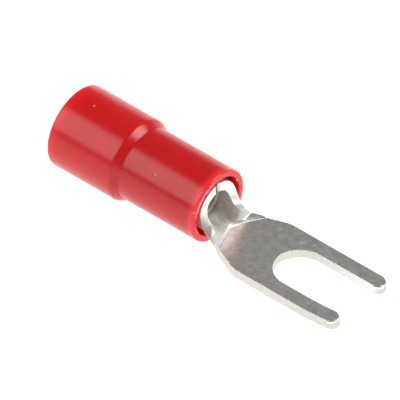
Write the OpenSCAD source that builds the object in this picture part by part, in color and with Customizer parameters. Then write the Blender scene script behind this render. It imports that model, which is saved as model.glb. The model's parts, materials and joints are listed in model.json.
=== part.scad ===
// Insulated fork terminal for a stranded wire and a small stud.
// One stamped and rolled sheet-metal terminal sits in a stepped plastic sleeve.
// Millimetres. X runs along the part towards the fork tips, Z is up, and the part lies
// on the plane z = 0 in the attitude that it comes to rest in.

/* [Sheet and barrel] */
// Thickness of the sheet that the terminal is stamped from
sheet_t = 0.6; // [0.5:0.05:0.75]
// Bore of the rolled barrel, which takes the stripped wire
barrel_bore_d = 1.95; // [1.6:0.05:2.3]
// Length of the rolled barrel
barrel_len = 4.8; // [4:0.1:5.4]
// Gap along the top of the barrel where the rolled edges meet
seam_gap = 0.2; // [0.06:0.02:0.3]
// Number of grip grooves round the inside of the barrel
groove_count = 3; // [2:1:4]
// Distance of the outer grip grooves from the ends of the barrel
groove_inset = 0.72; // [0.5:0.02:1.2]
// Width of a grip groove
groove_w = 0.2; // [0.1:0.05:0.3]
// Depth of a grip groove
groove_depth = 0.08; // [0.04:0.02:0.14]

/* [Neck] */
// Width of the flat blank where it leaves the barrel
neck_w = 3.16; // [2.6:0.02:3.4]
// How much the blank narrows on each side in the round corners between barrel and neck
notch_w = 1.25; // [0.3:0.05:1.4]
// Length of those corners along the part
notch_len = 0.86; // [0.4:0.02:1.1]
// Distance from the sleeve's face to where the blank starts to widen
root_reach = 1.1; // [0.8:0.05:1.4]
// Distance from the sleeve's face to the crease, on the centre line
crease_apex = 0.9; // [0.7:0.02:1.2]
// Distance from the sleeve's face to the crease, at the edges
crease_edge = 1.52; // [1.3:0.02:2]
// How pointed the crease is: 1 is a V and 2 is a parabola
crease_power = 1; // [1:0.1:2]
// How gently the trough starts to open at the barrel: 1 is at once
unroll_start = 1.6; // [1.1:0.1:2]
// How gently the trough ends flat at the crease: 1 is at once
unroll_end = 1.35; // [1.1:0.05:2]
// Length over which the neck's floor steps down to the tongue
step_run = 0.13; // [0.1:0.01:0.3]
// How far the tongue lies below the barrel's floor
tongue_drop = 0.1; // [0.06:0.02:0.16]

/* [Fork tongue] */
// Width of the slot for the stud
slot_w = 3.2; // [2.6:0.1:3.8]
// Width of each prong
prong_w = 0.96; // [0.7:0.02:1.3]
// Distance from the sleeve's face to the centre of the slot's round end
stud_reach = 6.11; // [5.4:0.01:7]
// Distance from the sleeve's face to the prong tips
tip_reach = 10.51; // [9:0.01:12]
// Distance from the sleeve's face to where the sides become parallel
shoulder_reach = 3.25; // [2.6:0.05:4]
// Radius of the shoulders
shoulder_r = 1.6; // [0.4:0.1:2.2]

/* [Sleeve] */
// Length of the sleeve
sleeve_len = 10.54; // [9:0.01:12]
// Length of the wide wire end
wire_end_len = 4.6; // [3.8:0.05:5]
// Length of the step between the two diameters
step_len = 0.5; // [0.4:0.05:0.7]
// Bore of the wire end, which takes the wire's insulation
wire_bore_d = 4.2; // [4.1:0.05:4.8]
// Wall round the wire bore
wire_wall = 0.465; // [0.4:0.005:0.6]
// Wall of the front end
front_wall = 0.4; // [0.25:0.01:0.42]
// Gap round the barrel at the front of the sleeve
mouth_gap = 0.295; // [0.1:0.005:0.31]
// Depth of the gap round the barrel
mouth_depth = 0.9; // [0.4:0.05:1.5]
// How far the barrel's front face lies behind the sleeve's
barrel_recess = 0.07; // [0.02:0.01:0.3]
// Length of the funnel that guides the strands into the barrel
funnel_len = 0.9; // [0.5:0.05:1.2]
// Thickness of the lip that the barrel seats against
lip_t = 0.15; // [0.1:0.01:0.25]
// How much wider the lip is than the barrel's bore, on the radius
lip_relief = 0.25; // [0.1:0.05:0.4]
// Clearance between the barrel and its seat, on the radius
seat_clearance = 0.01; // [0:0.005:0.03]
// Rounding of the front rim
rim_r = 0.12; // [0.04:0.01:0.18]
// Rounding of the wire end's rim
wire_rim_r = 0.18; // [0.06:0.01:0.22]
// Rounding of the step's upper edge
step_r = 0.35; // [0.1:0.05:0.5]

/* [Hidden] */
$fn = 96;
// Segments in each rounded corner of a profile
corner_steps = 8;
// Rings along the neck, how much closer they lie at the barrel, and points across the neck
neck_rings = 28;
ring_crowding = 1.8;
neck_points = 32;
// Shares of the neck that run into the barrel and the tongue, and how far inside they lie
joint_overlap = 0.25;
joint_run_on = 0.07;
joint_inset = 0.02;
// A length that runs cutters past what they cut
past = 1;
// Curvature below which the neck counts as flat
flat_curvature = 1e-4;

barrel_r = barrel_bore_d / 2 + sheet_t;
barrel_mid_r = barrel_r - sheet_t / 2;
barrel_rear_x = -barrel_recess - barrel_len;
groove_pitch = (barrel_len - 2 * groove_inset) / (groove_count - 1);

tongue_w = slot_w + 2 * prong_w;
tongue_top_z = -barrel_bore_d / 2 - tongue_drop;
tongue_bottom_z = tongue_top_z - sheet_t;
shoulder_slope = (tongue_w - neck_w) / 2 / (shoulder_reach - root_reach);

mouth_r = barrel_r + mouth_gap;
front_r = mouth_r + front_wall;
wire_r = wire_bore_d / 2 + wire_wall;
seat_r = barrel_r + seat_clearance;
lip_r = barrel_bore_d / 2 + lip_relief;
lip_rear_x = barrel_rear_x - lip_t;
step_front_x = wire_end_len + step_len - sleeve_len;
step_rear_x = wire_end_len - sleeve_len;

// The part lies on the step's upper edge and, in front, on the sleeve's rim or the prong tips.
// Each support is a circle in the plane of symmetry: its centre and its radius.
step_edge = [step_rear_x - step_r * tan(atan2(wire_r - front_r, step_len) / 2), step_r - wire_r];
front_rim = [-rim_r, rim_r - front_r];
prong_tip = [tip_reach - prong_w / 2, tongue_bottom_z];
rest_pitch = min(rest_angle(front_rim, rim_r), rest_angle(prong_tip, 0));
rest_z = step_edge * [-sin(rest_pitch), cos(rest_pitch)] - step_r;
rear_x = -sleeve_len * cos(rest_pitch) - wire_r * sin(rest_pitch);
front_x = tip_reach * cos(rest_pitch) + tongue_top_z * sin(rest_pitch);

// Slope of the line that touches the step's edge and another support from below
function rest_angle(support, r) =
    let (way = support - step_edge)
    atan2(way.y, way.x) + asin((step_r - r) / norm(way));

function unit(v) = v / norm(v);

// Points of the arc that rounds corner b between its neighbours a and c
function corner_arc(a, b, c, r) =
    let (u = unit(a - b), w = unit(c - b))
    let (half = acos(u * w) / 2, centre = b + unit(u + w) * r / sin(half))
    let (from = b + u * r / tan(half) - centre, turn = 180 - 2 * half)
    let (way = sign(u.y * w.x - u.x * w.y) * turn)
    [for (i = [0 : corner_steps])
        let (g = way * i / corner_steps)
        centre + [from.x * cos(g) - from.y * sin(g), from.x * sin(g) + from.y * cos(g)]];

// Closed outline with its corners rounded, from corners given as [x, y, radius]
function rounded(corners) =
    let (n = len(corners))
    let (flat = [for (c = corners) [c.x, c.y]])
    [for (i = [0 : n - 1])
        each corners[i].z == 0
            ? [flat[i]]
            : corner_arc(flat[(i + n - 1) % n], flat[i], flat[(i + 1) % n], corners[i].z)];

// Half the width of the flat blank at a distance from the sleeve's face
function blank_half_w(x) =
    let (into_notch = min(max((x + barrel_recess) / notch_len, 0), 1))
    neck_w / 2
        + notch_w * (1 - sqrt(1 - pow(1 - into_notch, 2)))
        + max(x - root_reach, 0) * shoulder_slope;

// Distance of the crease from the sleeve's face, s from -1 to 1 across the blank
function crease_x(s) = crease_apex + (crease_edge - crease_apex) * pow(abs(s), crease_power);

// A point of the neck: s across it, t from 0 at the barrel to 1 at the crease, and
// side 1 on its upper face or -1 on its lower face. The sheet keeps its thickness while
// the barrel's curve opens out, and its ends run inside the barrel and the tongue.
function neck_point(s, t, side) =
    let (on_neck = min(max(t, 0), 1))
    let (x = -barrel_recess + t * (crease_x(s) + barrel_recess))
    let (edge = -barrel_recess + on_neck * (crease_edge + barrel_recess))
    let (joined = t <= 0 || t >= 1 ? 1 : 0)
    let (half_w = blank_half_w(edge) - joint_inset * joined)
    let (rolled = pow(1 - pow(on_neck, unroll_start), unroll_end))
    let (curvature = max(rolled / barrel_mid_r, flat_curvature))
    let (turn = half_w * s * curvature * 180 / PI)
    let (stepped = max(1 - (1 - t) * (crease_x(s) + barrel_recess) / step_run, 0))
    let (drop = tongue_drop * (side > 0 ? stepped : min(stepped, 1)))
    let (half_t = side * sheet_t / 2)
    let (thinned = half_t - side * joint_inset * (t <= 0 || (t >= 1 && side < 0) ? 1 : 0))
    let (r = 1 / curvature)
    [x, (r - thinned) * sin(turn), r - barrel_mid_r - (r - thinned) * cos(turn) - drop];

// Corners of the tongue's side from the crease to the prong, y up, as [x, y, radius]
function tongue_side() = [
    [crease_edge - joint_inset, blank_half_w(crease_edge - joint_inset), 0],
    [shoulder_reach, tongue_w / 2, shoulder_r],
    [tip_reach - prong_w / 2, tongue_w / 2, 0]];

// Ring with a V section that is cut out of the bore's wall, groove_w wide at the wall
module grip_groove() {
    bore_r = barrel_bore_d / 2;
    rotate_extrude()
        polygon([
            [bore_r + groove_depth, 0],
            [bore_r - groove_depth, groove_w],
            [bore_r - groove_depth, -groove_w]]);
}

module barrel() {
    translate([barrel_rear_x, 0, 0])
        rotate([0, 90, 0])
            difference() {
                cylinder(h = barrel_len, r = barrel_r);
                translate([0, 0, -past])
                    cylinder(h = barrel_len + 2 * past, d = barrel_bore_d);
                for (i = [0 : groove_count - 1])
                    translate([0, 0, groove_inset + i * groove_pitch])
                        grip_groove();
                translate([-barrel_r - past, -seam_gap / 2, -past])
                    cube([barrel_r + past, seam_gap, barrel_len + 2 * past]);
            }
}

// The sheet between the barrel and the tongue, which opens from a trough to flat
module neck() {
    along = [
        -joint_overlap,
        for (i = [0 : neck_rings]) pow(i / neck_rings, ring_crowding),
        1 + joint_run_on];
    rings = len(along);
    across = neck_points + 1;
    points = [
        for (side = [1, -1])
            for (t = along)
                for (j = [0 : neck_points])
                    neck_point(2 * j / neck_points - 1, t, side)];
    lower = rings * across;
    faces = [
        for (i = [0 : rings - 2], j = [0 : neck_points - 1])
            let (a = i * across + j, b = a + 1, c = a + across, d = c + 1)
            each [[a, b, c], [b, d, c], [lower + b, lower + a, lower + c], [lower + b, lower + c, lower + d]],
        for (i = [0 : rings - 2])
            let (a = i * across, b = a + across, e = a + neck_points, f = b + neck_points)
            each [[a, b, lower + a], [b, lower + b, lower + a], [f, e, lower + e], [f, lower + e, lower + f]],
        for (j = [0 : neck_points - 1])
            let (a = j, b = a + 1, c = (rings - 1) * across + j, d = c + 1)
            each [[b, a, lower + a], [b, lower + a, lower + b], [c, d, lower + c], [d, lower + d, lower + c]]];
    polyhedron(points = points, faces = faces);
}

module tongue() {
    side = tongue_side();
    root = [
        for (j = [1 : neck_points - 1])
            let (s = 2 * j / neck_points - 1)
            [crease_x(s) - joint_inset, s * side[0].y, 0]];
    near = [for (i = [len(side) - 1 : -1 : 0]) [side[i].x, -side[i].y, side[i].z]];
    tip_x = tip_reach - prong_w / 2;
    translate([0, 0, tongue_bottom_z])
        linear_extrude(sheet_t)
            difference() {
                union() {
                    polygon(rounded(concat(root, side, near)));
                    for (y = [-1, 1])
                        translate([tip_x, y * (slot_w + prong_w) / 2])
                            circle(d = prong_w);
                }
                translate([stud_reach, 0])
                    circle(d = slot_w);
                translate([stud_reach, -slot_w / 2])
                    square([tip_reach - stud_reach + past, slot_w]);
            }
}

// Sets a piece down from its own axis to where it lies on the surface
module at_rest() {
    translate([-(rear_x + front_x) / 2, 0, -rest_z])
        rotate([0, rest_pitch, 0])
            children();
}

module terminal() {
    color("silver")
        at_rest()
            union() {
                barrel();
                neck();
                tongue();
            }
}

module sleeve() {
    seat_front_x = -mouth_depth - mouth_gap;
    corners = [
        [front_r, 0, rim_r],
        [mouth_r, 0, rim_r / 2],
        [mouth_r, -mouth_depth, 0],
        [seat_r, seat_front_x, 0],
        [seat_r, barrel_rear_x, 0],
        [lip_r, barrel_rear_x, 0],
        [lip_r, lip_rear_x, 0],
        [wire_bore_d / 2, lip_rear_x - funnel_len, 0],
        [wire_bore_d / 2, -sleeve_len, wire_rim_r / 2],
        [wire_r, -sleeve_len, wire_rim_r],
        [wire_r, step_rear_x, step_r],
        [front_r, step_front_x, step_r / 2]];
    color("firebrick")
        at_rest()
            rotate([0, 90, 0])
                rotate_extrude()
                    polygon(rounded(corners));
}

terminal();
sleeve();
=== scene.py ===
"""Insulated fork terminal: a tinned copper fork in a red vinyl sleeve.

Lengths are millimetres in the part's own axes, which start at the middle of the sleeve's front
face, with x along the barrel towards the tips, y across the fork and z up through the barrel's
seam. PLACE takes them to the frame, in metres.
"""
import json
import math

import bmesh
import bpy
from mathutils import Matrix, Vector, noise
from mathutils.geometry import delaunay_2d_cdt


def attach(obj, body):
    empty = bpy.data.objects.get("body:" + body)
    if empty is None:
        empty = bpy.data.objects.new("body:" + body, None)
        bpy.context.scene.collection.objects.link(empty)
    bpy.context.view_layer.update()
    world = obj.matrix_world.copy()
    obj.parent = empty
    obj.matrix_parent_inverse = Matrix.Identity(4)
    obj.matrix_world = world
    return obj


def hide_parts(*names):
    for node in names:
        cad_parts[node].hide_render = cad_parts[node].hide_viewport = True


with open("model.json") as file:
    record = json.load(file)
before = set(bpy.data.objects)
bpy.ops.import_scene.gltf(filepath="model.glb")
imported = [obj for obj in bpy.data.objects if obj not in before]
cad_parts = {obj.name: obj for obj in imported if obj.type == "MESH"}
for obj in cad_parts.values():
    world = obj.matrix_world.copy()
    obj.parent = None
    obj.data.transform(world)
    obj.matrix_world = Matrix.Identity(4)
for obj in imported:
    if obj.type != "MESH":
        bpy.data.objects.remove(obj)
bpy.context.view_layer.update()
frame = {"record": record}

MM = 0.001

# The frame's own sizes and the part's axes.
mounts = {mount["name"]: mount for mount in frame["record"]["mounts"]}
bore_r = mounts["wire_barrel"]["dims"]["r_mm"]
barrel_len = mounts["wire_barrel"]["dims"]["length_mm"]
wire_bore_r = mounts["wire_entry"]["dims"]["r_mm"]
slot_r = mounts["stud_slot"]["dims"]["r_mm"]
sheet_t = mounts["stud_slot"]["dims"]["length_mm"]
FORWARD = -Vector(mounts["wire_barrel"]["axis"]).normalized()
ACROSS = Vector(mounts["stud_slot"]["axis"]).cross(FORWARD).normalized()
UP = FORWARD.cross(ACROSS)

# Sizes that the frame doesn't state, as the CAD part has them.
barrel_recess = 0.07
seam_gap = 0.2
groove_count = 3
groove_inset = 0.72
groove_w = 0.2
groove_depth = 0.08
neck_w = 3.16
notch_w = 1.25
notch_len = 0.86
root_reach = 1.1
crease_apex = 0.9
crease_edge = 1.52
unroll_start = 1.6
unroll_end = 1.35
step_run = 0.13
prong_w = 0.96
tip_reach = 10.51
shoulder_reach = 3.25
shoulder_r = 1.6
sleeve_len = 10.54
wire_end_len = 4.6
step_len = 0.5
wire_wall = 0.465
front_wall = 0.4
mouth_gap = 0.295
mouth_depth = 0.9
funnel_len = 0.9
lip_t = 0.15
lip_relief = 0.25
seat_clearance = 0.01
rim_r = 0.12
wire_rim_r = 0.18
step_r = 0.35

# What follows from them.
barrel_mid_r = bore_r + sheet_t / 2
barrel_r = bore_r + sheet_t
barrel_front_x = -barrel_recess
barrel_rear_x = barrel_front_x - barrel_len
groove_pitch = (barrel_len - 2 * groove_inset) / (groove_count - 1)
tongue_w = 2 * (slot_r + prong_w)
mouth_r = barrel_r + mouth_gap
front_r = mouth_r + front_wall
wire_r = wire_bore_r + wire_wall
seat_r = barrel_r + seat_clearance
lip_r = bore_r + lip_relief
step_rear_x = wire_end_len - sleeve_len
step_front_x = step_rear_x + step_len
lip_rear_x = barrel_rear_x - lip_t
funnel_rear_x = lip_rear_x - funnel_len

BARREL_MIDDLE = Vector(mounts["wire_barrel"]["pos_m"]) / MM
ORIGIN = BARREL_MIDDLE + FORWARD * (barrel_recess + barrel_len / 2)
STUD = Vector(mounts["stud_slot"]["pos_m"]) / MM - ORIGIN
stud_reach = STUD.dot(FORWARD)
tongue_z = STUD.dot(UP)
tongue_drop = -tongue_z - barrel_mid_r

AXES = Matrix((FORWARD, ACROSS, UP)).transposed().to_4x4()
PLACE = Matrix.Scale(MM, 4) @ Matrix.Translation(ORIGIN) @ AXES

# Points closer than this become one.
MERGE_WITHIN = 1e-4

# Inputs and outputs of the Mix node that carry a colour.
COLOUR_A, COLOUR_B, COLOUR_OUT = 6, 7, 2

# Where most of a noise pattern's values lie.
NOISE_LOW, NOISE_HIGH = 0.3, 0.7


def clamp(value):
    """The value, held between 0 and 1."""
    return min(max(value, 0), 1)


def linear(hex_colour):
    """An sRGB hex colour as linear red, green, blue and alpha."""
    parts = [int(hex_colour[i:i + 2], 16) / 255 for i in (1, 3, 5)]
    return [c / 12.92 if c <= 0.04045 else ((c + 0.055) / 1.055) ** 2.4 for c in parts] + [1.0]


def add(tree, kind, settings=None):
    """Adds a node; settings are its properties, or values and links for its inputs."""
    node = tree.nodes.new(kind)
    for name, value in (settings or {}).items():
        if isinstance(name, str) and hasattr(node, name):
            setattr(node, name, value)
        elif isinstance(value, bpy.types.NodeSocket):
            tree.links.new(value, node.inputs[name])
        else:
            node.inputs[name].default_value = value
    return node


def blend(tree, share, start, end):
    """A colour that lies a share of the way from one colour to another."""
    return add(tree, "ShaderNodeMix", {
        "data_type": "RGBA", "Factor": share, COLOUR_A: start, COLOUR_B: end}).outputs[COLOUR_OUT]


def ramp(tree, value, start, end, low=0.0, high=1.0, kind="LINEAR"):
    """A number that goes from low to high as a value goes from start to end."""
    return add(tree, "ShaderNodeMapRange", {
        "interpolation_type": kind, "Value": value, "From Min": start, "From Max": end,
        "To Min": low, "To Max": high}).outputs["Result"]


def new_material(name):
    """A material with an empty tree and its shader, joined to the output."""
    material = bpy.data.materials.new(name)
    material.use_nodes = True
    tree = material.node_tree
    tree.nodes.clear()
    shader = add(tree, "ShaderNodeBsdfPrincipled")
    add(tree, "ShaderNodeOutputMaterial", {"Surface": shader.outputs["BSDF"]})
    return material, tree, shader


# A tag of flash on the mouth's inner edge.
FLASH_DEGREES = -61.5
FLASH_W = 0.16
FLASH_H = 0.1

# Specks on the sleeve: place along the axis, degrees from the top to the near side, distance from
# the axis, radius and colour. The last one is the tag of flash.
SPECK_CORE = 0.4
SPECKS = (
    (-8.94, 7.5, wire_r, 0.07, "#F2B8B4"),
    (-3.28, 47.0, front_r, 0.06, "#F8C8C2"),
    (-6.8, 108.5, wire_r, 0.05, "#5A0A0C"),
    (-0.08, 68.6, front_r, 0.05, "#FBDCD8"),
    (0.0, FLASH_DEGREES, mouth_r, 0.1, "#FFC4BE"),
)

# How far from each end the painted glow of the thin walls starts, and where it is full: paler
# red painted into the colour for light that passes through them.
MOUTH_PAINTED_GLOW = (0.6, 0.1)
WIRE_END_PAINTED_GLOW = (0.9, 0.2)

# Sizes of the vinyl's patterns, its range of roughness, and how deep each colour of light soaks in.
PIGMENT_CLOUD = 1.6
GLOSS_CLOUD = 0.7
ORANGE_PEEL = 0.3
PEEL_HEIGHT = 0.0015
VINYL_ROUGH = (0.19, 0.27)
VINYL_IOR = 1.53
SOAK_DEPTHS = (1.0, 0.06, 0.04)


def axis_place(x):
    """How far a place along the barrel's axis lies along FORWARD in the frame, in metres."""
    return (ORIGIN.dot(FORWARD) + x) * MM


def sleeve_point(x, degrees, radius):
    """A point on the sleeve in the frame, from its place along the axis and its angle."""
    turn = math.radians(degrees)
    return PLACE @ Vector((x, -radius * math.sin(turn), radius * math.cos(turn)))


def red_vinyl():
    """Soft PVC, injection moulded in a polished mould.

    Deep red with a wet gloss; light soaks into it. The glow of the thin wall of the mouth and of
    the hollow wire end is also painted into the colour, paler than the stretch that hugs the
    barrel. The skin waves a little, and a few specks of dust are moulded in.
    """
    material, tree, shader = new_material("soft_vinyl_moulded_red")
    here = add(tree, "ShaderNodeTexCoord").outputs["Object"]
    place = add(tree, "ShaderNodeVectorMath", {
        "operation": "DOT_PRODUCT", 0: here, 1: FORWARD}).outputs["Value"]
    cloud = add(tree, "ShaderNodeTexNoise", {
        "Vector": here, "Scale": 1 / (PIGMENT_CLOUD * MM), "Detail": 2.0})
    colour = blend(tree, cloud.outputs["Fac"], linear("#C6040A"), linear("#D2080E"))
    # Painted glow: the hollow wire end and the thin walls at both ends are painted paler red along
    # the axis, for light that passes through them.
    painted_glow_zones = (
        (step_front_x, step_rear_x - step_len, "#D1060C"),
        (-MOUTH_PAINTED_GLOW[0], -MOUTH_PAINTED_GLOW[1], "#F63038"),
        (WIRE_END_PAINTED_GLOW[0] - sleeve_len, WIRE_END_PAINTED_GLOW[1] - sleeve_len, "#E81018"),
    )
    for start, end, painted_glow in painted_glow_zones:
        glow_share = ramp(tree, place, axis_place(start), axis_place(end), kind="SMOOTHSTEP")
        colour = blend(tree, glow_share, colour, linear(painted_glow))
    for x, degrees, radius, speck_r, speck_colour in SPECKS:
        gap = add(tree, "ShaderNodeVectorMath", {
            "operation": "DISTANCE", 0: here, 1: sleeve_point(x, degrees, radius)})
        cover = ramp(tree, gap.outputs["Value"], SPECK_CORE * speck_r * MM, speck_r * MM,
                     low=1.0, high=0.0, kind="SMOOTHSTEP")
        colour = blend(tree, cover, colour, linear(speck_colour))
    gloss = add(tree, "ShaderNodeTexNoise", {
        "Vector": here, "Scale": 1 / (GLOSS_CLOUD * MM), "Detail": 3.0})
    roughness = ramp(tree, gloss.outputs["Fac"], NOISE_LOW, NOISE_HIGH, *VINYL_ROUGH)
    peel = add(tree, "ShaderNodeTexNoise", {
        "Vector": here, "Scale": 1 / (ORANGE_PEEL * MM), "Detail": 1.0})
    skin = add(tree, "ShaderNodeBump", {
        "Strength": 1.0, "Distance": PEEL_HEIGHT * MM, "Height": peel.outputs["Fac"]})
    tree.links.new(colour, shader.inputs["Base Color"])
    tree.links.new(roughness, shader.inputs["Roughness"])
    tree.links.new(skin.outputs["Normal"], shader.inputs["Normal"])
    shader.inputs["IOR"].default_value = VINYL_IOR
    shader.inputs["Subsurface Weight"].default_value = 1.0
    shader.inputs["Subsurface Radius"].default_value = SOAK_DEPTHS
    shader.inputs["Subsurface Scale"].default_value = MM
    return material


# Sizes of the plating's mottle, how much of it is fine grain, and its relief.
TIN_CLOUD = 0.42
TIN_GRAIN = 0.09
GRAIN_SHARE = 0.45
MOTTLE_LOW, MOTTLE_HIGH = 0.33, 0.67
PLATE_RELIEF = 0.0012

# Rub marks in two directions, and flecks.
RUB_LENGTH = 1.6
RUB_WIDTH = 0.05
RUB_TURNS = (0.35, 2.1)
RUB_LOW, RUB_HIGH = 0.66, 0.8
RUB_STRENGTH = 0.3
FLECK_PITCH = 0.8
FLECK_R = 0.05
FLECK_CORE = 0.4
FLECK_STRENGTH = 0.5

# Roughness of the flat sheet and of the stretched neck, where it changes by the crease, and what
# the mottle, a scuff and the barrel's inside add to it.
FLAT_ROUGH = 0.3
NECK_ROUGH = 0.5
NECK_FADE = (crease_apex - 0.2, crease_apex + 0.6)
INSIDE_FADE = (0.3, -0.3)
MOTTLE_ROUGH = 0.06
SCUFF_ROUGH = 0.25
INSIDE_ROUGH = 0.14

# Marks on the flat blank: place, turn in degrees, half length, half width and strength.
MARK_CORE, MARK_END = 0.4, 1.1
TIN_MARKS = (
    (4.38, -1.66, 20, 0.1, 0.06, 0.9),
    (3.18, 0.34, 0, 0.07, 0.05, 0.7),
    (2.34, -1.16, 70, 0.08, 0.05, 0.8),
    (4.27, -1.39, 40, 0.08, 0.05, 0.7),
    (3.1, 1.82, 60, 0.2, 0.13, 0.45),
    (6.2, 2.2, -20, 0.26, 0.035, 0.7),
    (6.45, 2.1, -20, 0.2, 0.06, 0.6),
    (4.71, 1.71, 30, 0.26, 0.14, 0.35),
    (5.41, 2.01, 10, 0.3, 0.12, 0.3),
    (5.89, -1.83, -15, 0.35, 0.1, 0.35),
    (9.35, -1.7, 15, 0.4, 0.12, 0.35),
)


def tin_sheet():
    """Bright tin plate on rolled copper sheet, handled in bulk.

    A soft grey mirror, mottled where the plating flowed, with flecks, rub marks and a few scuffs,
    and rougher where the neck was stretched. The blank's own flat coordinates, in millimetres,
    carry it round the bends.
    """
    material, tree, shader = new_material("tin_plate_on_rolled_copper")
    blank = add(tree, "ShaderNodeUVMap", {"uv_map": "blank"}).outputs["UV"]
    cloud = add(tree, "ShaderNodeTexNoise", {
        "Vector": blank, "Scale": 1 / TIN_CLOUD, "Detail": 4.0, "Roughness": 0.65})
    grain = add(tree, "ShaderNodeTexNoise", {
        "Vector": blank, "Scale": 1 / TIN_GRAIN, "Detail": 2.0, "Roughness": 0.7})
    mottle = add(tree, "ShaderNodeMix", {
        "Factor": GRAIN_SHARE, "A": cloud.outputs["Fac"],
        "B": grain.outputs["Fac"]}).outputs["Result"]
    shade = ramp(tree, mottle, MOTTLE_LOW, MOTTLE_HIGH)
    colour = blend(tree, shade, linear("#CBCAC4"), linear("#FDFCF8"))

    scuffs = []
    for turn in RUB_TURNS:
        drawn = add(tree, "ShaderNodeMapping", {
            "Vector": blank, "Rotation": (0, 0, turn),
            "Scale": (1 / RUB_LENGTH, 1 / RUB_WIDTH, 1)})
        lines = add(tree, "ShaderNodeTexNoise", {"Vector": drawn.outputs["Vector"], "Detail": 1.0})
        scuffs.append(ramp(tree, lines.outputs["Fac"], RUB_LOW, RUB_HIGH, high=RUB_STRENGTH))
    flecks = add(tree, "ShaderNodeTexVoronoi", {"Vector": blank, "Scale": 1 / FLECK_PITCH})
    fleck_end = FLECK_R / FLECK_PITCH
    scuffs.append(ramp(tree, flecks.outputs["Distance"], FLECK_CORE * fleck_end, fleck_end,
                       low=FLECK_STRENGTH, high=0.0))
    for x, y, turn, half_length, half_width, strength in TIN_MARKS:
        over_mark = add(tree, "ShaderNodeMapping", {
            "vector_type": "TEXTURE", "Vector": blank, "Location": (x, y, 0),
            "Rotation": (0, 0, math.radians(turn)), "Scale": (half_length, half_width, 1)})
        away = add(tree, "ShaderNodeVectorMath", {
            "operation": "LENGTH", 0: over_mark.outputs["Vector"]})
        scuffs.append(ramp(tree, away.outputs["Value"], MARK_CORE, MARK_END,
                           low=strength, high=0.0, kind="SMOOTHSTEP"))
    scuffed = scuffs[0]
    for scuff in scuffs[1:]:
        scuffed = add(tree, "ShaderNodeMath", {
            "operation": "MAXIMUM", 0: scuffed, 1: scuff}).outputs["Value"]

    along = add(tree, "ShaderNodeSeparateXYZ", {"Vector": blank}).outputs["X"]
    roughness = ramp(tree, along, *NECK_FADE, low=NECK_ROUGH, high=FLAT_ROUGH, kind="SMOOTHSTEP")
    inside = ramp(tree, along, *INSIDE_FADE, kind="SMOOTHSTEP")
    unevenness = ((shade, MOTTLE_ROUGH), (scuffed, SCUFF_ROUGH), (inside, INSIDE_ROUGH))
    for uneven, share in unevenness:
        roughness = add(tree, "ShaderNodeMath", {
            "operation": "MULTIPLY_ADD", 0: uneven, 1: share, 2: roughness}).outputs["Value"]
    skin = add(tree, "ShaderNodeBump", {
        "Strength": 1.0, "Distance": PLATE_RELIEF * MM, "Height": mottle})
    tree.links.new(colour, shader.inputs["Base Color"])
    tree.links.new(roughness, shader.inputs["Roughness"])
    tree.links.new(skin.outputs["Normal"], shader.inputs["Normal"])
    shader.inputs["Metallic"].default_value = 1.0
    return material


# Sizes of the drag lines and of the torn grain, their relief, and the edge's range of roughness.
DRAG_W = 0.06
DRAG_L = 1.2
TEAR_GRAIN = 0.07
EDGE_RELIEF = 0.003
EDGE_ROUGH = (0.1, 0.62)

# How roughly the tool left an edge, from the tips' rolled arris to the notch. The far prong's slot
# wall is painted creamier and darker towards the slot's round end, as painted shade, and paler
# towards its tip; the tips themselves are dragged more.
BURNISHED = -1.0
CLEAN_CUT = 0.0
DRAGGED = 0.27
SLOT_SHADE_FADE = 0.17
TIP_DRAGGED = 0.4
TORN = 1.0


def tin_edge():
    """Tin plate over a sheared copper edge.

    Mirror bright where the tool rolled it, white where the cut is clean, creamier with upright
    drag lines where the punch drew the metal along, grey and grainy where it tore. A point
    attribute says which; it also carries painted shade, creamier and darker on the far prong's slot
    wall towards the slot's round end.
    """
    material, tree, shader = new_material("tin_plate_on_sheared_edge")
    edge = add(tree, "ShaderNodeUVMap", {"uv_map": "blank"}).outputs["UV"]
    torn_and_shaded = add(tree, "ShaderNodeAttribute", {"attribute_name": "tear"}).outputs["Fac"]
    upright = add(tree, "ShaderNodeMapping", {
        "Vector": edge, "Scale": (1 / DRAG_W, 1 / DRAG_L, 1)})
    drag = add(tree, "ShaderNodeTexNoise", {"Vector": upright.outputs["Vector"], "Detail": 3.0})
    grain = add(tree, "ShaderNodeTexNoise", {
        "Vector": edge, "Scale": 1 / TEAR_GRAIN, "Detail": 2.0, "Roughness": 0.7})
    colour = linear("#FCFBF6")
    degrees = (
        (CLEAN_CUT, DRAGGED, drag, "#C7C0B5", "#F0EDE6"),
        (DRAGGED, TORN, grain, "#86827C", "#DCD8D0"),
    )
    for start, end, pattern, dark, pale in degrees:
        share = ramp(tree, torn_and_shaded, start, end)
        shade = ramp(tree, pattern.outputs["Fac"], NOISE_LOW, NOISE_HIGH)
        marked = blend(tree, shade, linear(dark), linear(pale))
        colour = blend(tree, share, colour, marked)
    roughness = ramp(tree, torn_and_shaded, BURNISHED, TORN, *EDGE_ROUGH)
    height = add(tree, "ShaderNodeMath", {
        "operation": "ADD", 0: drag.outputs["Fac"], 1: grain.outputs["Fac"]})
    skin = add(tree, "ShaderNodeBump", {
        "Strength": 1.0, "Distance": EDGE_RELIEF * MM, "Height": height.outputs["Value"]})
    tree.links.new(colour, shader.inputs["Base Color"])
    tree.links.new(roughness, shader.inputs["Roughness"])
    tree.links.new(skin.outputs["Normal"], shader.inputs["Normal"])
    shader.inputs["Metallic"].default_value = 1.0
    return material


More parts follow.
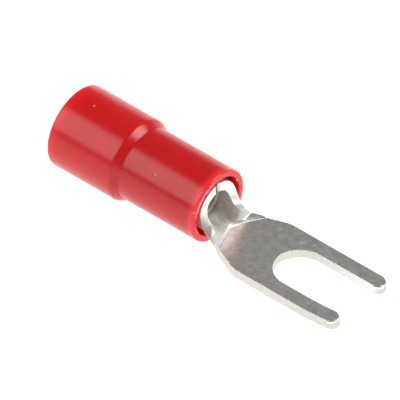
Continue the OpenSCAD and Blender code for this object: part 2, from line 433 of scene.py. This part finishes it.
def rounded(corners, arc_steps):
    """A closed outline of corners (x, y, radius) with each corner rounded to its radius."""
    outline = []
    for i, (x, y, radius) in enumerate(corners):
        here = Vector((x, y))
        if radius == 0:
            outline.append(here)
            continue
        back = (Vector(corners[i - 1][:2]) - here).normalized()
        on = (Vector(corners[(i + 1) % len(corners)][:2]) - here).normalized()
        half = back.angle(on) / 2
        middle = here + (back + on).normalized() * (radius / math.sin(half))
        start = here + back * (radius / math.tan(half)) - middle
        end = here + on * (radius / math.tan(half)) - middle
        turn = start.angle_signed(end)
        for step in range(arc_steps + 1):
            outline.append(middle + Matrix.Rotation(-turn * step / arc_steps, 2) @ start)
    return outline


def with_stations(outline, support, station):
    """The outline with points added along its straight runs, the outer ones near the ends."""
    fuller = []
    for here, there in zip(outline, outline[1:] + outline[:1]):
        fuller.append(here)
        run = (there - here).length
        if run < 4 * support:
            continue
        inner = run - 2 * support
        count = max(1, round(inner / station))
        for i in range(count + 1):
            fuller.append(here.lerp(there, (support + inner * i / count) / run))
    return fuller


def finish_mesh(name, mesh):
    """Makes a piece of a mesh, with its doubles merged and its faces turned outwards."""
    work = bmesh.new()
    work.from_mesh(mesh)
    bmesh.ops.remove_doubles(work, verts=work.verts, dist=MERGE_WITHIN * MM)
    bmesh.ops.recalc_face_normals(work, faces=work.faces)
    work.to_mesh(mesh)
    work.free()
    mesh.name = name
    piece = bpy.data.objects.new(name, mesh)
    bpy.context.collection.objects.link(piece)
    return piece


# Sleeve: the lathe's circle, and how finely the sleeve and its section are divided.
LATHE_R = 1.0
SLEEVE_SEGMENTS = 256
RIM_STEPS = 6
RING_SUPPORT = 0.04
RING_STATION = 0.35


def lathe_tree():
    """Sweeps a closed profile round a circle whose size and finish are inputs."""
    tree = bpy.data.node_groups.new("moulded_sleeve", "GeometryNodeTree")
    sockets = (
        ("Profile", "NodeSocketGeometry"),
        ("Segments", "NodeSocketInt"),
        ("Circle radius", "NodeSocketFloat"),
        ("Finish", "NodeSocketMaterial"),
    )
    for name, kind in sockets:
        tree.interface.new_socket(name, in_out="INPUT", socket_type=kind)
    tree.interface.new_socket("Sleeve", in_out="OUTPUT", socket_type="NodeSocketGeometry")
    given = add(tree, "NodeGroupInput").outputs
    circle = add(tree, "GeometryNodeCurvePrimitiveCircle", {
        "Resolution": given["Segments"], "Radius": given["Circle radius"]})
    upright = add(tree, "GeometryNodeSetCurveNormal", {
        "mode": "Z_UP", "Curve": circle.outputs["Curve"]})
    profile = add(tree, "GeometryNodeMeshToCurve", {"Mesh": given["Profile"]})
    swept = add(tree, "GeometryNodeCurveToMesh", {
        "Curve": upright.outputs["Curve"], "Profile Curve": profile.outputs["Curve"]})
    smooth = add(tree, "GeometryNodeSetShadeSmooth", {"Geometry": swept.outputs["Mesh"]})
    real = add(tree, "GeometryNodeRealizeInstances", {"Geometry": smooth.outputs["Geometry"]})
    finished = add(tree, "GeometryNodeSetMaterial", {
        "Geometry": real.outputs["Geometry"], "Material": given["Finish"]})
    add(tree, "NodeGroupOutput", {"Sleeve": finished.outputs["Geometry"]})
    return tree


def sleeve():
    """The stepped sleeve, turned from its section: radius and place along the axis."""
    section = [
        (front_r, 0, rim_r),
        (mouth_r, 0, rim_r / 2),
        (mouth_r, -mouth_depth, 0),
        (seat_r, -mouth_depth - mouth_gap, 0),
        (seat_r, barrel_rear_x, 0),
        (lip_r, barrel_rear_x, 0),
        (lip_r, lip_rear_x, 0),
        (wire_bore_r, funnel_rear_x, 0),
        (wire_bore_r, -sleeve_len, wire_rim_r / 2),
        (wire_r, -sleeve_len, wire_rim_r),
        (wire_r, step_rear_x, step_r),
        (front_r, step_front_x, step_r / 2),
    ]
    outline = with_stations(rounded(section, RIM_STEPS), RING_SUPPORT, RING_STATION)
    ring = [(i, (i + 1) % len(outline)) for i in range(len(outline))]
    profile = bpy.data.meshes.new("sleeve_section")
    profile.from_pydata([(p.x - LATHE_R, -p.y, 0) for p in outline], ring, [])
    source = bpy.data.objects.new("sleeve_section", profile)
    bpy.context.collection.objects.link(source)
    tree = lathe_tree()
    lathe = source.modifiers.new("lathe", "NODES")
    lathe.node_group = tree
    values = {"Segments": SLEEVE_SEGMENTS, "Circle radius": LATHE_R, "Finish": red_vinyl()}
    for item in tree.interface.items_tree:
        if item.name in values:
            lathe[item.identifier] = values[item.name]
    turned = source.evaluated_get(bpy.context.evaluated_depsgraph_get())
    mesh = bpy.data.meshes.new_from_object(turned)
    bpy.data.objects.remove(source)
    mesh.transform(PLACE @ Matrix.Rotation(math.pi / 2, 4, "Y"))
    flash = sleeve_point(0, FLASH_DEGREES, mouth_r)
    inward = (sleeve_point(0, FLASH_DEGREES, 0) - flash).normalized()
    for vertex in mesh.vertices:
        near = max(1 - (vertex.co - flash).length / (FLASH_W * MM), 0)
        vertex.co += inward * (FLASH_H * MM * near ** 2)
    return finish_mesh("moulded_sleeve", mesh)


# Terminal: how finely it is divided.
NECK_POINTS = 44
WRAP_POINTS = 26
BARREL_STATION = 0.2
NOTCH_STEPS = 24
NECK_STATIONS = 64
OUTLINE_STATION = 0.07
TIP_STEPS = 28
SLOT_STEPS = 48
SHOULDER_STEPS = 10
CORNER_STEPS = 5

# The tongue's inner points: a row that follows the edge and a grid inside it, each left out where
# it comes closer to the edge than a multiple of the row's distance.
GRID_STATION = 0.3
EDGE_SUPPORT = 0.13
GRID_CLEAR = 1.6
SUPPORT_CLEAR = 0.9
KEEP_INSIDE = 1
FLAT_MERGE = 1e-5

# The blank's rounded seam corners, the grooves' broken edges, and the least curvature.
SEAM_CORNER = 0.15
GROOVE_BREAK = 0.012
FLAT = 1e-4

# The press left the neck's far half, towards +y, a little different: its wall stands up to its end
# and then drops steeply, its crease runs further on and its root is wider.
FAR_WALL_END = 0.78
FAR_WALL_SLANT = 0.25
FAR_WALL_DROP = 0.22
FAR_WALL_FROM = 0.35
FAR_CREASE_EDGE = 1.9
FAR_CREASE_BEND = 0.57
FAR_SPREAD = 0.18
SPREAD_RUN = 0.4

# Handling bent the near prong's end up and in.
BENT_FROM = 7.8
BENT_UP = 0.15
BENT_IN = 0.06


def blank_half_w(x, spread):
    """The flat blank's half width at x: the notch's corner and the neck, spread at its root."""
    into_notch = clamp((x - barrel_front_x) / notch_len)
    corner = notch_w * (1 - math.sqrt(1 - (1 - into_notch) ** 2))
    half_neck = neck_w / 2 + spread * clamp((x - FAR_WALL_END) / SPREAD_RUN)
    slope = (tongue_w / 2 - half_neck) / (shoulder_reach - root_reach)
    return half_neck + corner + max(x - root_reach, 0) * slope


def crease_x(s):
    """Where the neck meets the flat tongue, at s from -1 to 1 across it."""
    if s > 0:
        bent = s * (1 - FAR_CREASE_BEND + FAR_CREASE_BEND * s)
        return crease_apex + (FAR_CREASE_EDGE - crease_apex) * bent
    return crease_apex - (crease_edge - crease_apex) * s


def barrel_spot(x, run):
    """A point in the middle of the rolled sheet, and its normal towards the bore."""
    turn = run / barrel_mid_r
    normal = Vector((0, -math.sin(turn), math.cos(turn)))
    return Vector((x, 0, 0)) - normal * barrel_mid_r, normal, (x, run)


def neck_spot(s, t):
    """A point in the middle of the neck's sheet, which unrolls from the barrel as t goes to 1."""
    x = barrel_front_x + t * (crease_x(s) - barrel_front_x)
    at_edge = barrel_front_x + t * (crease_x(math.copysign(1, s)) - barrel_front_x)
    half_w = blank_half_w(at_edge, FAR_SPREAD if s > 0 else 0)
    rolled = (1 - t ** unroll_start) ** unroll_end
    if s > 0:
        foot = crease_x(s) - FAR_WALL_DROP
        wall_end = min(FAR_WALL_END + FAR_WALL_SLANT * (1 - s), foot)
        pressed = clamp((x - wall_end) / FAR_WALL_DROP)
        standing = 1 - pressed * pressed * (3 - 2 * pressed)
        rolled += (standing - rolled) * min(s / FAR_WALL_FROM, 1)
    curvature = max(rolled / barrel_mid_r, FLAT)
    radius = 1 / curvature
    turn = half_w * s * curvature
    drop = tongue_drop * max(1 - (crease_x(s) - x) / step_run, 0)
    normal = Vector((0, -math.sin(turn), math.cos(turn)))
    centre = Vector((x, 0, radius - barrel_mid_r - drop))
    return centre - normal * radius, normal, (x, half_w * s)


def tongue_spot(x, y):
    """A point in the middle of the flat tongue, whose near prong is bent a little at its end."""
    bent_len = tip_reach - BENT_FROM
    bend = max((x - BENT_FROM) / bent_len, 0) if y < 0 else 0
    spot = Vector((x, y + BENT_IN * bend ** 2, tongue_z + BENT_UP * bend ** 2))
    return spot, Vector((-2 * BENT_UP * bend / bent_len, 0, 1)).normalized(), (x, y)


def arc(centre, radius, start, end, steps):
    """Points on an arc, in degrees from +x towards +y."""
    for i in range(steps + 1):
        angle = math.radians(start + (end - start) * i / steps)
        yield Vector((centre[0] + radius * math.cos(angle), centre[1] + radius * math.sin(angle)))


def fork_side(root_x, spread):
    """The outline of one half of the fork, from the crease's end to the slot's round end."""
    half = tongue_w / 2
    tip_r = prong_w / 2
    root = Vector((root_x, blank_half_w(root_x, spread)))
    lean = math.degrees(math.atan((half - root.y) / (shoulder_reach - root_x)))
    reach = shoulder_r * math.tan(math.radians(lean / 2))
    side = [root]
    middle = (shoulder_reach + reach, half - shoulder_r)
    side += arc(middle, shoulder_r, 90 + lean, 90, SHOULDER_STEPS)
    side += arc((tip_reach - tip_r, half - tip_r), tip_r, 90, -90, TIP_STEPS)
    side += arc((stud_reach, 0), slot_r, 90, 180, SLOT_STEPS)
    return side


def spaced(line, station):
    """An open line with points added along its long runs."""
    fuller = []
    for here, there in zip(line, line[1:]):
        count = max(1, round((there - here).length / station))
        fuller += [here.lerp(there, i / count) for i in range(count)]
    return fuller + [line[-1]]


def depth_inside(point, outline):
    """How far a point lies inside a closed outline, or a negative distance outside it."""
    least = math.inf
    inside = False
    for here, there in zip(outline, outline[1:] + outline[:1]):
        along = there - here
        share = clamp((point - here).dot(along) / along.length_squared)
        least = min(least, (here + along * share - point).length)
        if (here.y > point.y) != (there.y > point.y):
            crossing = here.x + along.x * (point.y - here.y) / along.y
            inside ^= crossing > point.x
    return least if inside else -least


class Sheet:
    """The blank's middle surface: spots with a normal and a place on the flat blank, and faces."""

    def __init__(self):
        self.spots = []
        self.faces = []

    def spot(self, made):
        """Adds a spot and gives its number."""
        self.spots.append(made)
        return len(self.spots) - 1

    def patch(self, rows):
        """Quads between rows of spot numbers."""
        for row, further in zip(rows, rows[1:]):
            for i in range(len(row) - 1):
                self.faces.append((row[i], further[i], further[i + 1], row[i + 1]))


def seam_corner(x):
    """How much the blank's rounded corners take off the seam's edge at a place on the barrel."""
    inward = max(SEAM_CORNER - min(x - barrel_rear_x, barrel_front_x - x), 0)
    return SEAM_CORNER - math.sqrt(SEAM_CORNER ** 2 - inward ** 2)


def barrel_stations():
    """Places of the barrel's rings, closer at its ends and on each groove's flanks."""
    places = set()
    for i in range(CORNER_STEPS + 1):
        inward = SEAM_CORNER * (1 - math.cos(math.pi / 2 * i / CORNER_STEPS))
        places |= {barrel_rear_x + inward, barrel_front_x - inward}
    grooves = [barrel_front_x - groove_inset - i * groove_pitch for i in range(groove_count)]
    for groove in grooves:
        for away in (GROOVE_BREAK, groove_w / 2 - GROOVE_BREAK, groove_w / 2 + GROOVE_BREAK):
            places |= {groove - away, groove + away}
    count = round(barrel_len / BARREL_STATION)
    for i in range(1, count):
        x = barrel_rear_x + i * barrel_len / count
        if all(abs(x - place) > BARREL_STATION / 2 for place in places):
            places.add(x)
    return sorted(places), grooves


def blank_sheet():
    """The whole blank as formed: rolled barrel, neck and flat fork."""
    sheet = Sheet()
    places, grooves = barrel_stations()
    across = [i / NECK_POINTS * 2 - 1 for i in range(NECK_POINTS + 1)]
    neck_run = blank_half_w(barrel_front_x, 0)
    seam_run = math.pi * barrel_mid_r - seam_gap / 2
    barrel = []
    for x in places:
        wrapped = seam_run - seam_corner(x) - neck_run
        wrap = [neck_run + wrapped * i / WRAP_POINTS for i in range(1, WRAP_POINTS + 1)]
        runs = [-run for run in reversed(wrap)] + [neck_run * s for s in across] + wrap
        barrel.append([sheet.spot(barrel_spot(x, run)) for run in runs])
    sheet.patch(barrel)

    notch_share = notch_len / (crease_edge - barrel_front_x)
    shares = [notch_share * (1 - math.cos(math.pi / 2 * i / NOTCH_STEPS))
              for i in range(1, NOTCH_STEPS + 1)]
    shares += [notch_share + (1 - notch_share) * i / NECK_STATIONS
               for i in range(1, NECK_STATIONS + 1)]
    neck = [barrel[-1][WRAP_POINTS:-WRAP_POINTS]]
    neck += [[sheet.spot(neck_spot(s, t)) for s in across] for t in shares]
    sheet.patch(neck)

    crease = [Vector(sheet.spots[i][0][:2]) for i in neck[-1]]
    far_side = spaced(fork_side(FAR_CREASE_EDGE, FAR_SPREAD), OUTLINE_STATION)
    near_side = [Vector((p.x, -p.y)) for p in spaced(fork_side(crease_edge, 0), OUTLINE_STATION)]
    fork = near_side + far_side[-2::-1]
    outline = fork[1:-1] + crease[::-1]
    inside = []
    columns = round((tip_reach - crease_apex) / GRID_STATION)
    rows = round(tongue_w / 2 / GRID_STATION)
    for i in range(columns + 1):
        for j in range(-rows, rows + 1):
            point = Vector((crease_apex + i * GRID_STATION, j * GRID_STATION))
            if depth_inside(point, outline) > GRID_CLEAR * EDGE_SUPPORT:
                inside.append(point)
    count = len(outline)
    for i, here in enumerate(outline):
        along = (outline[(i + 1) % count] - outline[i - 1]).normalized()
        point = here + Vector((-along.y, along.x)) * EDGE_SUPPORT
        if depth_inside(point, outline) > SUPPORT_CLEAR * EDGE_SUPPORT:
            inside.append(point)
    border = list(range(count))
    flat_points, _, flat_faces, origins, _, _ = delaunay_2d_cdt(
        outline + inside, [], [border], KEEP_INSIDE, FLAT_MERGE)
    numbers = []
    for point, sources in zip(flat_points, origins):
        on_crease = [n for n in sources if count - len(crease) <= n < count]
        if on_crease:
            numbers.append(neck[-1][count - 1 - on_crease[0]])
        else:
            numbers.append(sheet.spot(tongue_spot(point.x, point.y)))
    sheet.faces += [tuple(numbers[i] for i in face) for face in flat_faces]
    return sheet, grooves


def sheet_rim(faces):
    """The blank's edge as one loop of spot numbers, with the sheet on its left."""
    edges = {(face[i - 1], face[i]) for face in faces for i in range(len(face))}
    onward = {a: b for a, b in edges if (b, a) not in edges}
    loop = [min(onward)]
    while onward[loop[-1]] != loop[0]:
        loop.append(onward[loop[-1]])
    return loop


# Section of the sheared edge. The upper arris breaks off raggedly, apart from the tips, where the
# cut-off tool drew it round; the lower arris is drawn round everywhere.
TIP_ROLL_W = 0.11
TIP_ROLL_H = 0.1
TIP_BLEND = 0.08
TIP_FRONT = 0.6
ROLL_W = 0.05
ROLL_H = 0.09
ROLL_STEPS = 5
FACE_ROWS = 8

# The ragged arris: its break, narrower on edges that face the far side, and its chips, with finer
# ones on the larger ones.
BREAK = 0.028
LEAST_BREAK = 0.4
NEAR_FACING = 0.3
CHIP_LENGTH = 0.2
CHIP_SLOPE = 0.8
CHIP_FROM = 0.22
CHIP_MOST = 0.1
FINE_CHIPS = 2.3
FINE_SHARE = 0.5
FINE_ROW = 7

# The tear starts this far above the sheet's middle, in half thicknesses.
TORN_FROM = 0.5

# The least share of a corner's mitre, so that sharp corners don't grow long.
LEAST_MITRE = 0.5


def on_tip(spot):
    """1 on the two sides of a prong's round end, less at its very front and 0 behind it."""
    tip_r = prong_w / 2
    past = clamp((spot.x - tip_reach + tip_r) / TIP_BLEND)
    aside = abs(abs(spot.y) - slot_r - tip_r) / tip_r
    return past * min(aside / TIP_FRONT, 1)


def edge_section(spot, facing, run):
    """Pairs of inset and height through the sheet at a place on its edge, from the top down.

    The punch ran off centre, so the edges that face the near side are the ragged ones.
    """
    half = sheet_t / 2
    near_side = clamp((NEAR_FACING - facing.y) / (2 * NEAR_FACING))
    tip = on_tip(spot)
    ragged = noise.noise(Vector((run / CHIP_LENGTH, 0, 0)))
    ragged += FINE_SHARE * noise.noise(Vector((run / CHIP_LENGTH * FINE_CHIPS, FINE_ROW, 0)))
    on_fork = clamp((spot.x - crease_edge) / CHIP_LENGTH)
    chip = min(max(ragged - CHIP_FROM, 0) * CHIP_SLOPE, CHIP_MOST) * (1 - tip) * on_fork
    arris = BREAK * (LEAST_BREAK + (1 - LEAST_BREAK) * near_side) + chip * near_side
    width = arris + (TIP_ROLL_W - arris) * tip
    depth = arris + (TIP_ROLL_H - arris) * tip
    section = []
    for i in range(ROLL_STEPS + 1):
        angle = math.pi / 2 * i / ROLL_STEPS
        section.append((width * (1 - math.sin(angle)), half - depth * (1 - math.cos(angle))))
    top = half - depth
    bottom = ROLL_H - half
    for i in range(1, FACE_ROWS):
        section.append((0, top + (bottom - top) * i / FACE_ROWS))
    for i in range(ROLL_STEPS + 1):
        angle = math.pi / 2 * i / ROLL_STEPS
        section.append((ROLL_W * (1 - math.cos(angle)), bottom - ROLL_H * math.sin(angle)))
    return section


def tear(spot, height):
    """How roughly the tool left the edge at a spot and a height through the sheet, with painted
    shade added on the far prong's slot wall towards the slot's round end.
    """
    if spot.x > notch_len:
        tip_r = prong_w / 2
        tip_x = tip_reach - tip_r
        dragged = DRAGGED
        # Painted shade: the far prong's slot wall stays more dragged, creamier and darker, near the
        # slot's round end and is paler towards the tip.
        if 0 < spot.y < slot_r + tip_r:
            dragged -= SLOT_SHADE_FADE * clamp((spot.x - stud_reach) / (tip_x - stud_reach))
        dragged += (TIP_DRAGGED - dragged) * clamp((spot.x - tip_x) / tip_r)
        below_roll = (sheet_t / 2 - TIP_ROLL_H - height) / TIP_ROLL_H
        drawn = clamp(1 - below_roll)
        return dragged + (BURNISHED - dragged) * on_tip(spot) * drawn
    if spot.y > 0 or spot.x < 0:
        return CLEAN_CUT
    along = math.sin(math.pi * spot.x / notch_len)
    outer = clamp(TORN_FROM - height / sheet_t * 2)
    return TORN * along * outer


def terminal():
    """The stamping: two faces of the blank and the sheared edge that joins them."""
    sheet, grooves = blank_sheet()
    loop = sheet_rim(sheet.faces)
    outward = {}
    sections = {}
    runs = [0.0]
    for i, number in enumerate(loop):
        here, normal, _ = sheet.spots[number]
        further = sheet.spots[loop[(i + 1) % len(loop)]][0]
        before = (here - sheet.spots[loop[i - 1]][0]).cross(normal).normalized()
        after = (further - here).cross(normal).normalized()
        both = (before + after).normalized()
        outward[number] = both / max(both.dot(after), LEAST_MITRE)
        sections[number] = edge_section(here, both, runs[-1])
        runs.append(runs[-1] + (further - here).length)

    points = []
    places = []
    tears_and_shades = []

    def corner(point, place, torn_and_shaded):
        """Adds a corner of the mesh and gives its number."""
        points.append(point)
        places.append(place)
        tears_and_shades.append(torn_and_shaded)
        return len(points) - 1

    # The upper and the lower face, each with its own row of the edge's section.
    layers = []
    for side, row in ((1, 0), (-1, -1)):
        layer = []
        for number, (middle, normal, place) in enumerate(sheet.spots):
            height = side * sheet_t / 2
            if side > 0 and place[0] < barrel_front_x:
                depth = max(1 - abs(place[0] - g) / (groove_w / 2) for g in grooves)
                height -= groove_depth * max(depth, 0)
            point = middle + normal * height
            if number in outward:
                point -= outward[number] * sections[number][row][0]
            layer.append(corner(point, place, tear(middle, height)))
        layers.append(layer)
    upper, lower = layers
    faces = [tuple(upper[i] for i in face) for face in sheet.faces]
    faces += [tuple(lower[i] for i in reversed(face)) for face in sheet.faces]
    sheet_faces = len(faces)

    columns = []
    for number in loop:
        middle, normal, _ = sheet.spots[number]
        column = [upper[number]]
        for inset, height in sections[number][1:-1]:
            point = middle + normal * height - outward[number] * inset
            column.append(corner(point, None, tear(middle, height)))
        columns.append(column + [lower[number]])
    edge_places = []
    for i, column in enumerate(columns):
        further = columns[(i + 1) % len(columns)]
        start, end = runs[i], runs[i + 1]
        section = sections[loop[i]]
        for j in range(len(column) - 1):
            faces.append((column[j], column[j + 1], further[j + 1], further[j]))
            above, below = section[j][1], section[j + 1][1]
            edge_places.append(((start, above), (start, below), (end, below), (end, above)))

    mesh = bpy.data.meshes.new("terminal")
    mesh.from_pydata([PLACE @ point for point in points], [], faces)
    mesh.materials.append(tin_sheet())
    mesh.materials.append(tin_edge())
    mesh.attributes.new("tear", "FLOAT", "POINT").data.foreach_set("value", tears_and_shades)
    uv = mesh.uv_layers.new(name="blank").data
    for polygon in mesh.polygons:
        on_edge = polygon.index >= sheet_faces
        polygon.material_index = 1 if on_edge else 0
        polygon.use_smooth = True
        for k, loop_index in enumerate(polygon.loop_indices):
            if on_edge:
                uv[loop_index].uv = edge_places[polygon.index - sheet_faces][k]
            else:
                uv[loop_index].uv = places[mesh.loops[loop_index].vertex_index]
    return finish_mesh("stamped_fork", mesh)


sleeve_piece = sleeve()
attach(sleeve_piece, "root")
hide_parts("sleeve")

terminal_piece = terminal()
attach(terminal_piece, "root")
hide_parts("terminal")

# Stage: a pale light table, a soft box on each side and a dim room. Its lengths are metres.
FLOOR_W = 4.0
TABLE_GLOW = 1.08
TABLE_ROUGH = 0.9
floor_mesh = bpy.data.meshes.new("floor")
half_floor = FLOOR_W / 2
floor_mesh.from_pydata(
    [(-half_floor, -half_floor, 0), (half_floor, -half_floor, 0),
     (half_floor, half_floor, 0), (-half_floor, half_floor, 0)], [], [(0, 1, 2, 3)])
floor = bpy.data.objects.new("floor", floor_mesh)
bpy.context.collection.objects.link(floor)
floor_paint, _, floor_shader = new_material("pale_light_table")
floor_shader.inputs["Base Color"].default_value = linear("#606060")
floor_shader.inputs["Roughness"].default_value = TABLE_ROUGH
floor_shader.inputs["Specular IOR Level"].default_value = 0.0
floor_shader.inputs["Emission Color"].default_value = linear("#FFFFFF")
floor_shader.inputs["Emission Strength"].default_value = TABLE_GLOW
floor_mesh.materials.append(floor_paint)


def soft_box(name, towards, distance, width, height, radiance):
    """A rectangular soft light that faces the part from a direction in the part's axes."""
    data = bpy.data.lights.new(name, "AREA")
    data.shape = "RECTANGLE"
    data.size = width
    data.size_y = height
    data.energy = radiance * math.pi * width * height
    lamp = bpy.data.objects.new(name, data)
    lamp.location = AXES.to_3x3() @ Vector(towards).normalized() * distance
    lamp.rotation_mode = "QUATERNION"
    lamp.rotation_quaternion = lamp.location.to_track_quat("Z", "Y")
    lamp.visible_camera = False
    bpy.context.collection.objects.link(lamp)


soft_box("left_soft_box", towards=(-0.55, -0.6, 0.58), distance=0.5,
         width=0.42, height=0.42, radiance=2.05)
soft_box("right_soft_box", towards=(0.42, 0.46, 0.78), distance=0.5,
         width=0.3, height=0.34, radiance=5.0)

# The room is dim overhead and paler low down, most of all behind the part, where the paper sweeps
# up. That side is a direction in the frame, and the ranges are the heights and the turns towards
# it over which the paper fades.
PAPER_SIDE = (-0.25, 0.97, 0.0)
PAPER_RISE = (0.08, 0.34)
PAPER_TURN = (0.2, 0.75)
PALE_ALL_ROUND = 0.35
world = bpy.data.worlds.new("dim_room")
world.use_nodes = True
room = world.node_tree
towards = add(room, "ShaderNodeTexCoord").outputs["Generated"]
height = add(room, "ShaderNodeSeparateXYZ", {"Vector": towards}).outputs["Z"]
behind = add(room, "ShaderNodeVectorMath", {
    "operation": "DOT_PRODUCT", 0: towards, 1: PAPER_SIDE}).outputs["Value"]
low = ramp(room, height, *PAPER_RISE, low=1.0, high=0.0, kind="SMOOTHSTEP")
far = ramp(room, behind, *PAPER_TURN, low=PALE_ALL_ROUND, kind="SMOOTHSTEP")
paper = add(room, "ShaderNodeMath", {"operation": "MULTIPLY", 0: low, 1: far}).outputs["Value"]
light = blend(room, paper, linear("#8B8B8B"), linear("#FFFFFF"))
room.links.new(light, room.nodes["Background"].inputs["Color"])
bpy.context.scene.world = world
bpy.context.scene.view_settings.view_transform = "Standard"

# Camera: a long lens at the photograph's view. The photograph's directions are in the part's axes,
# and the sleeve's front middle lies at FRONT_PIXEL.
VIEW_RIGHT = Vector((0.767, 0.641, 0.03))
VIEW_BACK = Vector((0.468, -0.59, 0.658))
PHOTO_PIXELS = 400
PIXELS_PER_MM = 17.75
FRONT_PIXEL = Vector((217.67, 205.92))
CAMERA_DISTANCE = 900.0
SENSOR_W = 36.0
camera_data = bpy.data.cameras.new("camera")
camera_data.sensor_width = SENSOR_W
camera_data.lens = SENSOR_W * CAMERA_DISTANCE * PIXELS_PER_MM / PHOTO_PIXELS
camera = bpy.data.objects.new("camera", camera_data)
bpy.context.collection.objects.link(camera)
back = VIEW_BACK.normalized()
right = (VIEW_RIGHT - back * VIEW_RIGHT.dot(back)).normalized()
over = back.cross(right)
middle_pixel = (PHOTO_PIXELS - 1) / 2
aim = right * (middle_pixel - FRONT_PIXEL.x) - over * (middle_pixel - FRONT_PIXEL.y)
stance = Matrix((right, over, back)).transposed().to_4x4()
stance.translation = aim / PIXELS_PER_MM + back * CAMERA_DISTANCE
seen_from = PLACE @ stance
camera.location = seen_from.translation
camera.rotation_mode = "QUATERNION"
camera.rotation_quaternion = seen_from.to_quaternion()
camera_data.clip_start = 0.01
camera_data.clip_end = 10.0
bpy.context.scene.camera = camera
